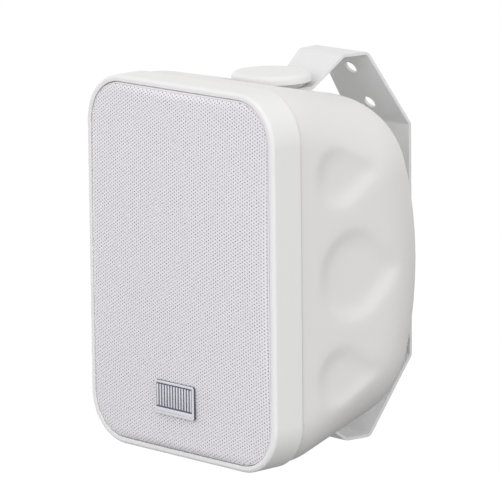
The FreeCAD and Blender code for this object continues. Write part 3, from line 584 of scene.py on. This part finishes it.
def edge_band():
    """A flat band along the grille's rounded outline, in rings of growing width."""
    only_nothing()
    bpy.ops.mesh.primitive_plane_add(size=1.0, rotation=ALONG_Y, location=(0, FRONT_Y, 0))
    band = bpy.context.object
    band.name = "folded_edge"
    band.scale = (FRONT_W - 2 * RIM_INSET, FRONT_H - 2 * RIM_INSET, 1)
    place_mesh(band)
    edit(band, "VERT")
    bpy.ops.mesh.select_all(action="SELECT")
    bpy.ops.mesh.bevel(offset=CORNER_R - RIM_INSET, segments=16, affect="VERTICES")
    bpy.ops.mesh.select_mode(type="EDGE")
    leave_edit()
    mesh = band.data
    for e in mesh.edges:
        a, b = (mesh.vertices[i].co for i in e.vertices)
        e.select = (a - b).length > LONG_EDGE
    edit(band, "EDGE")
    bpy.ops.mesh.subdivide(number_cuts=EDGE_CUTS)
    bpy.ops.mesh.select_mode(type="FACE")
    bpy.ops.mesh.select_all(action="SELECT")
    for width in EDGE_RINGS:
        bpy.ops.mesh.inset(thickness=width, depth=0.0)
    bpy.ops.mesh.delete(type="FACE")
    leave_edit()
    return band


def folded_edge():
    """The rolled edge of the sheet and its lip, which goes back to the baffle."""
    lip = edge_band()
    mesh = lip.data
    on_rim = set()
    for v in mesh.vertices:
        gap = edge_gap(v.co.x, v.co.z)[0]
        sink = next(s for limit, s in EDGE_SINKS if gap < limit)
        if gap < EDGE_SINKS[0][0]:
            on_rim.add(v.index)
        v.co.y = grille_front(v.co.x, v.co.z) + sink
    for v in mesh.vertices:
        v.select = v.index in on_rim
    for e in mesh.edges:
        e.select = all(i in on_rim for i in e.vertices)
    for f in mesh.polygons:
        f.select = False
    edit(lip, "EDGE")
    bpy.ops.mesh.extrude_edges_move(TRANSFORM_OT_translate={"value": (0, LIP_PULL, 0)})
    leave_edit()
    for v in mesh.vertices:
        if v.select:
            v.co.y = GRILLE_HIGH.y
    return lip


def grille_sheet():
    sheet = joined("grille_sheet", perforated_sheet(), folded_edge())
    edit_all(sheet)
    bpy.ops.mesh.dissolve_degenerate(threshold=0.00001 * MM)
    bpy.ops.mesh.normals_make_consistent(inside=False)
    leave_edit()
    smooth(sheet, 35)
    finish(sheet, grille_enamel, "speaker", "grille_paint", "grille")


# Cloth stretched behind the grille
CLOTH_INSET = 1.3 * MM


def cloth_sheet():
    low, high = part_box("grille_cloth")
    only_nothing()
    bpy.ops.mesh.primitive_grid_add(
        x_subdivisions=2, y_subdivisions=2, size=1.0, rotation=ALONG_Y, location=(0, low.y, 0))
    cloth = bpy.context.object
    cloth.name = "cloth_sheet"
    cloth.scale = (high.x - low.x, high.z - low.z, 1)
    place_mesh(cloth)
    pick(cloth, "VERT", lambda co, normal: abs(co.x) > high.x / 2 and abs(co.z) > high.z / 2)
    bpy.ops.mesh.bevel(offset=CORNER_R - RIM_INSET - CLOTH_INSET, segments=10, affect="VERTICES")
    leave_edit()
    finish(cloth, pale_cloth, "speaker", "black_cloth", "grille_cloth")


# Knobs at the pivots: a turned disc with a rounded edge, a skirt that clears the bracket's rise, and a neck
KNOB_R = (KNOB_HIGH.x - KNOB_LOW.x) / 2
KNOB_SIDES = 96
KNOB_EDGE_R = 3.0 * MM
KNOB_TOP_RING = 0.5 * MM
KNOB_TOP_BAND = 0.1 * MM
KNOB_UNDER_RING = 0.8 * MM
KNOB_NECK_R = 14.0 * MM
KNOB_CLEARANCE = 0.6 * MM
SKIRT_GAP = 1.1 * MM
FOOT_REACH = 18.0 * MM
RISE_RUN = 22.0 * MM


def pivot_knob(name, sign, body, node):
    run_per_rise = RISE_RUN / (BRACKET_TOP_Z - TAB_TOP_Z)
    top = KNOB_HIGH.z
    under = TAB_TOP_Z + (KNOB_R - FOOT_REACH) / run_per_rise + KNOB_CLEARANCE
    skirt_z = TAB_TOP_Z + SKIRT_GAP
    wide_r = KNOB_R - KNOB_UNDER_RING
    skirt_r = wide_r - (under - skirt_z) * run_per_rise
    knob = drum(name, KNOB_R, top - under, (0, PIVOT_Y, (top + under) / 2), ALONG_Z, KNOB_SIDES)
    pick(knob, "FACE", lambda middle, normal: normal.z > SQUARE)
    bpy.ops.mesh.bevel(offset=KNOB_EDGE_R, segments=7, affect="EDGES")
    pick(knob, "FACE", lambda middle, normal: normal.z > FLAT and middle.z > top - KNOB_TOP_BAND)
    bpy.ops.mesh.inset(thickness=KNOB_TOP_RING)
    pick(knob, "FACE", lambda middle, normal: normal.z < -SQUARE)
    bpy.ops.mesh.inset(thickness=KNOB_UNDER_RING)
    bpy.ops.mesh.extrude_region_move(TRANSFORM_OT_translate={"value": (0, 0, skirt_z - under)})
    bpy.ops.transform.resize(value=(skirt_r / wide_r, skirt_r / wide_r, 1))
    bpy.ops.mesh.inset(thickness=skirt_r - KNOB_NECK_R)
    bpy.ops.mesh.extrude_region_move(TRANSFORM_OT_translate={"value": (0, 0, TAB_TOP_Z - skirt_z)})
    leave_edit()
    if sign < 0:
        knob.rotation_euler = (0, math.pi, 0)
        place_mesh(knob)
    smooth(knob, 40)
    finish(knob, white_moulding, body, "white_plastic", node)


# Wall bracket with its cut edges eased
BRACKET_EDGE_R = 0.85 * MM


def bracket_strip():
    strip = copy_of("wall_bracket", "bracket_strip")
    flatten_facets(strip)
    round_off(strip, BRACKET_EDGE_R, 4, 50.0)
    smooth(strip, 50)
    even_normals(strip)
    finish(strip, white_powder, "bracket", "bracket_paint", "wall_bracket")


# Badge plate: a pale raised border, upright ribs and a bar on a dark field
PLATE_LOW, PLATE_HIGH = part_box("nameplate")
PLATE_Z = (PLATE_LOW.z + PLATE_HIGH.z) / 2
PLATE_HALF_W = (PLATE_HIGH.x - PLATE_LOW.x) / 2
PLATE_HALF_H = (PLATE_HIGH.z - PLATE_LOW.z) / 2
PLATE_CORNER_R = 1.5 * MM
PLATE_EASE = 0.35 * MM
PLATE_EASE_IN = 0.3 * MM
PLATE_EASE_DROP = 0.3 * MM
PLATE_FRONT_BAND = 0.05 * MM
PLATE_BORDER = 0.9 * MM
PLATE_STEP = 0.2 * MM
PLATE_SINK = 0.45 * MM
FIELD_DEPTH = 0.35 * MM
RIB_COUNT = 13
RIB_HALF = 0.6 * MM
RIB_TOP_GAP = 0.7 * MM
RIB_FOOT = 3.4 * MM
RIB_SINK = 0.12 * MM
RIB_BACK = 0.6 * MM
RIB_ROUND = 0.2 * MM
BAR_H = 2.4 * MM


def badge_plate():
    plate = block("badge_plate", PLATE_LOW, PLATE_HIGH)
    pick(plate, "EDGE", lambda middle, along: abs(along.y) > SQUARE)
    bpy.ops.mesh.bevel(offset=PLATE_CORNER_R, segments=5, affect="EDGES")
    pick(plate, "FACE", lambda middle, normal: normal.y < -SQUARE)
    for width in (PLATE_EASE, PLATE_BORDER, PLATE_STEP):
        bpy.ops.mesh.inset(thickness=width)
    bpy.ops.transform.translate(value=(0, PLATE_SINK, 0))
    leave_edit()
    inner_x, inner_z = PLATE_HALF_W - PLATE_EASE_IN, PLATE_HALF_H - PLATE_EASE_IN
    for v in plate.data.vertices:
        outside = abs(v.co.x) > inner_x or abs(v.co.z - PLATE_Z) > inner_z
        if v.co.y < PLATE_LOW.y + PLATE_FRONT_BAND and outside:
            v.co.y += PLATE_EASE_DROP
    smooth(plate, 35)
    finish(plate, plate_pale, "speaker", "plate_plastic", "nameplate")
    plate.data.materials.append(plate_dark)
    # The field's dark colour also goes on the plate's side and back faces: partly the plate's own dark edge,
    # partly painted shade for the thin shadow line along its top and right edges.
    for face in plate.data.polygons:
        field = face.normal.y < -FLAT and face.center.y > PLATE_LOW.y + FIELD_DEPTH
        side_or_back = face.normal.y > -EDGE_ON
        if field or side_or_back:
            face.material_index = 1


def badge_ribs():
    rim = PLATE_EASE + PLATE_BORDER + PLATE_STEP
    half_w, half_h = PLATE_HALF_W - rim, PLATE_HALF_H - rim
    pitch = 2 * half_w / RIB_COUNT
    foot = PLATE_Z - half_h
    front, back = PLATE_LOW.y + RIB_SINK, PLATE_LOW.y + RIB_BACK
    x = -half_w + pitch / 2
    rib = block("badge_rib", (x - RIB_HALF, front, foot + RIB_FOOT),
                (x + RIB_HALF, back, PLATE_Z + half_h - RIB_TOP_GAP))
    round_off(rib, RIB_ROUND, 2)
    bar = block("badge_bar", (-half_w, front, foot), (half_w, back, foot + BAR_H))
    round_off(bar, RIB_ROUND, 2)
    others = [twin_of(rib, (i * pitch, 0, 0)) for i in range(1, RIB_COUNT)]
    rib_set = joined("badge_ribs", rib, *others, bar)
    smooth(rib_set, 35)
    finish(rib_set, plate_pale, "speaker", "plate_plastic")


# Terminal panel with the marks of the tap selector and four screws
PANEL_EDGE_R = 0.4 * MM
MARK_COUNT = 5
MARK_SWEEP = math.radians(75)
MARK_RING_R = 10.2 * MM
MARK_HALF_W = 0.35 * MM
MARK_HALF_L = 1.2 * MM
MARK_H = 0.25 * MM
MARK_ROUND = 0.1 * MM
SCREW_X = 29.8 * MM
SCREW_Z = 16.6 * MM
SCREW_SIDES = 24
SCREW_R = 2.2 * MM
SCREW_H = 1.3 * MM
SCREW_ROUND = 0.6 * MM
RECESS_HALF_L = 1.3 * MM
RECESS_HALF_W = 0.25 * MM
RECESS_FLOOR = 0.6 * MM
RECESS_CUT = 2.0 * MM
PRESS_IN = 0.1 * MM


def terminal_plate():
    plate = copy_of("terminal_panel", "terminal_plate")
    flatten_facets(plate)
    round_off(plate, PANEL_EDGE_R, 2, 50.0)
    smooth(plate, 40)
    finish(plate, black_moulding, "speaker", "black_plastic", "terminal_panel")


def tap_marks():
    mark = block("tap_mark", (-MARK_HALF_W, -PRESS_IN, -MARK_HALF_L), (MARK_HALF_W, MARK_H, MARK_HALF_L))
    round_off(mark, MARK_ROUND, 1)
    marks = []
    for i in range(MARK_COUNT):
        turn = MARK_SWEEP * (2 * i / (MARK_COUNT - 1) - 1)
        x = TAP_X + MARK_RING_R * math.sin(turn)
        z = WELL_Z + MARK_RING_R * math.cos(turn)
        marks.append(twin_of(mark, (x, PANEL_BACK, z), turn))
    bpy.data.objects.remove(mark)
    mark_set = joined("tap_marks", *marks)
    smooth(mark_set, 40)
    finish(mark_set, plate_pale, "speaker", "plate_plastic")


def panel_screw(x, z):
    """A small pan-head screw with a cross recess."""
    middle = (x, PANEL_BACK - PRESS_IN + SCREW_H / 2, z)
    head = drum("panel_screw", SCREW_R, SCREW_H, middle, ALONG_Y, SCREW_SIDES)
    pick(head, "FACE", lambda middle, normal: normal.y > SQUARE)
    bpy.ops.mesh.bevel(offset=SCREW_ROUND, segments=4, affect="EDGES")
    leave_edit()
    y = PANEL_BACK + RECESS_FLOOR
    for wide, tall in ((RECESS_HALF_L, RECESS_HALF_W), (RECESS_HALF_W, RECESS_HALF_L)):
        slot = block("recess", (x - wide, y, z - tall), (x + wide, y + RECESS_CUT, z + tall))
        carve(head, slot, "DIFFERENCE")
    return head


def panel_screws():
    first = panel_screw(-SCREW_X, WELL_Z - SCREW_Z)
    shifts = ((0, 0, 2 * SCREW_Z), (2 * SCREW_X, 0, 0), (2 * SCREW_X, 0, 2 * SCREW_Z))
    screw_set = joined("panel_screws", first, *[twin_of(first, shift) for shift in shifts])
    smooth(screw_set, 35)
    finish(screw_set, zinc_steel, "speaker", "plated_steel")


# Terminal block with the signs of its poles, and the two press levers
HOUSING_EDGE_R = 0.35 * MM
SIGN_DROP = 9.0 * MM
SIGN_HALF_L = 1.6 * MM
SIGN_HALF_W = 0.3 * MM
SIGN_H = 0.15 * MM
SIGN_ROUND = 0.08 * MM
LEVER_HUB_SIDES = 32
LEVER_HUB_R = 2.2 * MM
LEVER_HALF_W = 4.5 * MM
LEVER_HALF_T = 2.0 * MM
LEVER_ROUND = 0.7 * MM
PIN_R = 1.0 * MM
PIN_ROUND = 0.2 * MM
RIDGE_COUNT = 4
RIDGE_START = 5.0 * MM
RIDGE_PITCH = 2.2 * MM
RIDGE_HALF_W = 3.4 * MM
RIDGE_HALF_H = 0.45 * MM
RIDGE_FOOT = 1.8 * MM
RIDGE_CREST = 2.4 * MM
RIDGE_ROUND = 0.27 * MM


def lever_x(node):
    low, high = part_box(node)
    return (low.x + high.x) / 2


def terminal_housing():
    housing = copy_of("terminal_block", "terminal_housing")
    flatten_facets(housing)
    round_off(housing, HOUSING_EDGE_R, 2, 50.0)
    smooth(housing, 40)
    finish(housing, black_moulding, "speaker", "black_plastic", "terminal_block")


def pole_signs():
    """A plus under the red lever and a minus under the black one."""
    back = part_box("terminal_block")[1].y
    z = WELL_Z - SIGN_DROP
    red_x, black_x = lever_x("red_lever"), lever_x("black_lever")
    level, upright = (SIGN_HALF_L, SIGN_HALF_W), (SIGN_HALF_W, SIGN_HALF_L)
    signs = []
    for x, (wide, tall) in ((red_x, level), (red_x, upright), (black_x, level)):
        sign = block("pole_sign", (x - wide, back - PRESS_IN, z - tall), (x + wide, back + SIGN_H, z + tall))
        round_off(sign, SIGN_ROUND, 1)
        signs.append(sign)
    sign_set = joined("pole_signs", *signs)
    finish(sign_set, plate_pale, "speaker", "plate_plastic")


def lever_tab(name, node, material, slot, body):
    """A rounded press tab with grip ridges on its hub and pin."""
    low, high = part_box(node)
    x = lever_x(node)
    axis_y = (low.y + high.y) / 2
    axis_z = high.z - LEVER_HUB_R
    tab = block(name, (x - LEVER_HALF_W, axis_y - LEVER_HALF_T, low.z),
                (x + LEVER_HALF_W, axis_y + LEVER_HALF_T, axis_z))
    round_off(tab, LEVER_ROUND, 3)
    z = axis_z - RIDGE_START
    ridge = block("grip_ridge", (x - RIDGE_HALF_W, axis_y + RIDGE_FOOT, z - RIDGE_HALF_H),
                  (x + RIDGE_HALF_W, axis_y + RIDGE_CREST, z + RIDGE_HALF_H))
    round_off(ridge, RIDGE_ROUND, 2)
    ridges = [twin_of(ridge, (0, 0, -i * RIDGE_PITCH)) for i in range(1, RIDGE_COUNT)]
    rounds = []
    for radius, length in ((LEVER_HUB_R, 2 * LEVER_HALF_W), (PIN_R, high.x - low.x)):
        hub = drum("lever_hub", radius, length, (x, axis_y, axis_z), ALONG_X, LEVER_HUB_SIDES)
        round_off(hub, PIN_ROUND, 2)
        rounds.append(hub)
    tab = joined(name, tab, ridge, *ridges, *rounds)
    smooth(tab, 40)
    finish(tab, material, body, slot, node)


# Tap selector: a notched cap with a grip bar and a pale pointer line, on its shaft
TAP_R = (TAP_HIGH.x - TAP_LOW.x) / 2
TAP_SIDES = 72
TAP_CAP_H = 4.0 * MM
TAP_CAP_ROUND = 0.35 * MM
NOTCH_EVERY = 3
NOTCH_SHARE = 0.05
GRIP_HALF_W = 1.5 * MM
GRIP_HALF_L = 6.5 * MM
GRIP_ROUND = 0.6 * MM
GRIP_SINK = 0.2 * MM
SHAFT_SIDES = 32
SHAFT_R = 3.0 * MM
SHAFT_ROUND = 0.2 * MM
POINTER_HALF_W = 0.35 * MM
POINTER_T = 0.1 * MM
POINTER_ROUND = 0.03 * MM
POINTER_FROM = 0.5 * MM
POINTER_TO = 5.6 * MM


def tap_cap():
    cap = drum("tap_dial", TAP_R, TAP_CAP_H, (TAP_X, PANEL_BACK + TAP_CAP_H / 2, WELL_Z), ALONG_Y, TAP_SIDES)
    for v in cap.data.vertices:
        way = Vector((v.co.x - TAP_X, 0, v.co.z - WELL_Z))
        corner = round(math.atan2(way.z, way.x) * TAP_SIDES / (2 * math.pi))
        if corner % NOTCH_EVERY == 0:
            v.co -= way * NOTCH_SHARE
    round_off(cap, TAP_CAP_ROUND, 2, 50.0)
    return cap


def tap_dial():
    cap = tap_cap()
    bar = block("grip_bar", (TAP_X - GRIP_HALF_W, PANEL_BACK + TAP_CAP_H - GRIP_SINK, WELL_Z - GRIP_HALF_L),
                (TAP_X + GRIP_HALF_W, TAP_HIGH.y, WELL_Z + GRIP_HALF_L))
    round_off(bar, GRIP_ROUND, 3)
    shaft_middle = (TAP_X, (TAP_LOW.y + PANEL_BACK) / 2, WELL_Z)
    shaft = drum("tap_shaft", SHAFT_R, PANEL_BACK - TAP_LOW.y, shaft_middle, ALONG_Y, SHAFT_SIDES)
    round_off(shaft, SHAFT_ROUND, 1, 50.0)
    dial = joined("tap_dial", cap, bar, shaft)
    smooth(dial, 40)
    finish(dial, black_moulding, "tap", "black_plastic", "tap_knob")


def tap_pointer():
    line = block("tap_pointer", (TAP_X - POINTER_HALF_W, TAP_HIGH.y - POINTER_T, WELL_Z + POINTER_FROM),
                 (TAP_X + POINTER_HALF_W, TAP_HIGH.y, WELL_Z + POINTER_TO))
    round_off(line, POINTER_ROUND, 1)
    smooth(line, 40)
    finish(line, plate_pale, "tap", "plate_plastic")


# Woofer surround, split at the cone's edge: the glued lip travels with the cone and the roll stays
SURROUND_SIDES = 24
ROLL_GAP = 0.3 * MM
ROLL_ROUND = 0.3 * MM
LIP_GAP = 0.2 * MM
LIP_ROUND = 0.1 * MM
CUTTER_OVERLAP = 2.0 * MM


def surround_part(name, radius, operation):
    """The surround outside or inside a round cut that runs along the depth."""
    ring = copy_of("woofer_surround", name)
    low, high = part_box("woofer_surround")
    length = high.y - low.y + 2 * CUTTER_OVERLAP
    cutter = drum("round_cutter", radius, length, (low + high) / 2, ALONG_Y, SURROUND_SIDES)
    carve(ring, cutter, operation)
    merge_points(ring, CUT_WELD)
    flatten_facets(ring)
    return ring


def surround_rings():
    low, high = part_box("woofer_cone")
    cone_r = (high.x - low.x) / 2
    roll = surround_part("surround_roll", cone_r + ROLL_GAP, "DIFFERENCE")
    round_off(roll, ROLL_ROUND, 2, 25.0)
    smooth(roll, 40)
    finish(roll, washer_rubber, "speaker", "black_rubber", "woofer_surround")
    lip = surround_part("surround_lip", cone_r - LIP_GAP, "INTERSECT")
    round_off(lip, LIP_ROUND, 2, 50.0)
    smooth(lip, 40)
    finish(lip, washer_rubber, "cone", "black_rubber")


cabinet_shell()
front_frame()
grille_sheet()
cloth_sheet()
pivot_knob("top_knob_disc", 1, "upper_knob", "top_knob")
pivot_knob("bottom_knob_disc", -1, "lower_knob", "bottom_knob")
bracket_strip()
badge_plate()
badge_ribs()
terminal_plate()
tap_marks()
panel_screws()
terminal_housing()
pole_signs()
lever_tab("red_lever_tab", "red_lever", red_moulding, "red_plastic", "red_lever_body")
lever_tab("black_lever_tab", "black_lever", black_moulding, "black_plastic", "black_lever_body")
tap_dial()
tap_pointer()
surround_rings()


# Studio: a white surround, soft light from the front and from both sides, and a floor
SURROUND_LIGHT = 0.765
FLOOR_SIZE = 24.0
FLOOR_Z = -2.0
FLOOR_GLOW = 1.1
FLOOR_GLOW_SHARE = 0.9
MIDDLE = (0, -0.1, 0)
COOL = (0.985, 0.97, 1.02)
PLAIN = (1.0, 1.0, 1.0)


def white_surround():
    """Even light for the speaker, and plain white for the eye and for reflections."""
    world = bpy.data.worlds.new("studio")
    bpy.context.scene.world = world
    world.use_nodes = True
    nodes, links = world.node_tree.nodes, world.node_tree.links
    light_back = nodes["Background"]
    light_back.inputs["Color"].default_value = (1, 1, 1, 1)
    light_back.inputs["Strength"].default_value = SURROUND_LIGHT
    white_back = nodes.new("ShaderNodeBackground")
    white_back.inputs["Color"].default_value = (1, 1, 1, 1)
    white_back.inputs["Strength"].default_value = 1.0
    path = nodes.new("ShaderNodeLightPath")
    either = nodes.new("ShaderNodeMath")
    either.operation = "MAXIMUM"
    links.new(path.outputs["Is Camera Ray"], either.inputs[0])
    links.new(path.outputs["Is Transmission Ray"], either.inputs[1])
    shine = nodes.new("ShaderNodeMath")
    shine.operation = "MAXIMUM"
    links.new(either.outputs[0], shine.inputs[0])
    links.new(path.outputs["Is Glossy Ray"], shine.inputs[1])
    mix = nodes.new("ShaderNodeMixShader")
    links.new(shine.outputs[0], mix.inputs["Fac"])
    links.new(light_back.outputs[0], mix.inputs[1])
    links.new(white_back.outputs[0], mix.inputs[2])
    links.new(mix.outputs[0], nodes["World Output"].inputs["Surface"])


def lamp(name, place, size, power, tint):
    """A round soft lamp that looks at the middle of the speaker."""
    light = bpy.data.lights.new(name, "AREA")
    light.shape = "DISK"
    light.size = size
    light.energy = power
    light.color = tint
    obj = bpy.data.objects.new(name, light)
    bpy.context.scene.collection.objects.link(obj)
    way = Vector(place) - Vector(MIDDLE)
    obj.matrix_world = Matrix.Translation(place) @ way.to_track_quat("Z", "Y").to_matrix().to_4x4()


def studio_floor():
    """A grey paper floor that the camera sees as nearly white."""
    only_nothing()
    bpy.ops.mesh.primitive_grid_add(
        x_subdivisions=8, y_subdivisions=8, size=FLOOR_SIZE, location=(0, 0, FLOOR_Z))
    floor = bpy.context.object
    floor.name = "floor"
    place_mesh(floor)
    material = coat("floor_paper", (0.22, 0.22, 0.22), 0.9, grain=40.0, vary=0.01)
    nodes, links = material.node_tree.nodes, material.node_tree.links
    glow = nodes.new("ShaderNodeEmission")
    glow.inputs["Strength"].default_value = FLOOR_GLOW
    path = nodes.new("ShaderNodeLightPath")
    share = nodes.new("ShaderNodeMath")
    share.operation = "MULTIPLY"
    share.inputs[1].default_value = FLOOR_GLOW_SHARE
    mix = nodes.new("ShaderNodeMixShader")
    links.new(path.outputs["Is Camera Ray"], share.inputs[0])
    links.new(share.outputs[0], mix.inputs["Fac"])
    links.new(nodes["Principled BSDF"].outputs[0], mix.inputs[1])
    links.new(glow.outputs[0], mix.inputs[2])
    links.new(mix.outputs[0], nodes["Material Output"].inputs["Surface"])
    floor.data.materials.append(material)


white_surround()
bpy.context.scene.view_settings.view_transform = "Standard"
lamp("key_light", (0.75, -2.3, 0.85), 1.6, 12, COOL)
lamp("low_light", (0.75, -2.3, -0.65), 1.2, 10, COOL)
lamp("side_light", (1.8, -0.3, 0.9), 3.6, 18.5, PLAIN)
lamp("left_light", (-2.2, -0.1, 0.35), 2.0, 18, PLAIN)
studio_floor()


# Camera at the photograph's angle; the middle of the rim's plane falls on the named pixel
TURN, LIFT, ROLL = math.radians(46.95), math.radians(11.0), math.radians(-0.61)
PICTURE_PX = 500.0
LENS_PX = 4500.0
PX_PER_MM = 1.7695
RIM_PX_X, RIM_PX_Y = 179.35, 272.55
SENSOR_MM = 36.0


def photo_camera():
    back = Vector((math.sin(TURN) * math.cos(LIFT), -math.cos(TURN) * math.cos(LIFT), math.sin(LIFT)))
    level = Vector((math.cos(TURN), math.sin(TURN), 0))
    upright = back.cross(level)
    right = math.cos(ROLL) * level + math.sin(ROLL) * upright
    up = -math.sin(ROLL) * level + math.cos(ROLL) * upright
    aside = (RIM_PX_X - PICTURE_PX / 2) / PX_PER_MM * MM
    raised = (RIM_PX_Y - PICTURE_PX / 2) / PX_PER_MM * MM
    distance = LENS_PX / PX_PER_MM * MM
    place = Vector((0, FRONT_Y, 0)) + back * distance - right * aside + up * raised
    camera_data = bpy.data.cameras.new("camera")
    camera_data.sensor_width = SENSOR_MM
    camera_data.lens = SENSOR_MM * LENS_PX / PICTURE_PX
    camera_data.clip_end = 50.0
    camera = bpy.data.objects.new("camera", camera_data)
    bpy.context.scene.collection.objects.link(camera)
    camera.matrix_world = Matrix.Translation(place) @ Matrix((right, up, back)).transposed().to_4x4()
    bpy.context.scene.camera = camera


photo_camera()
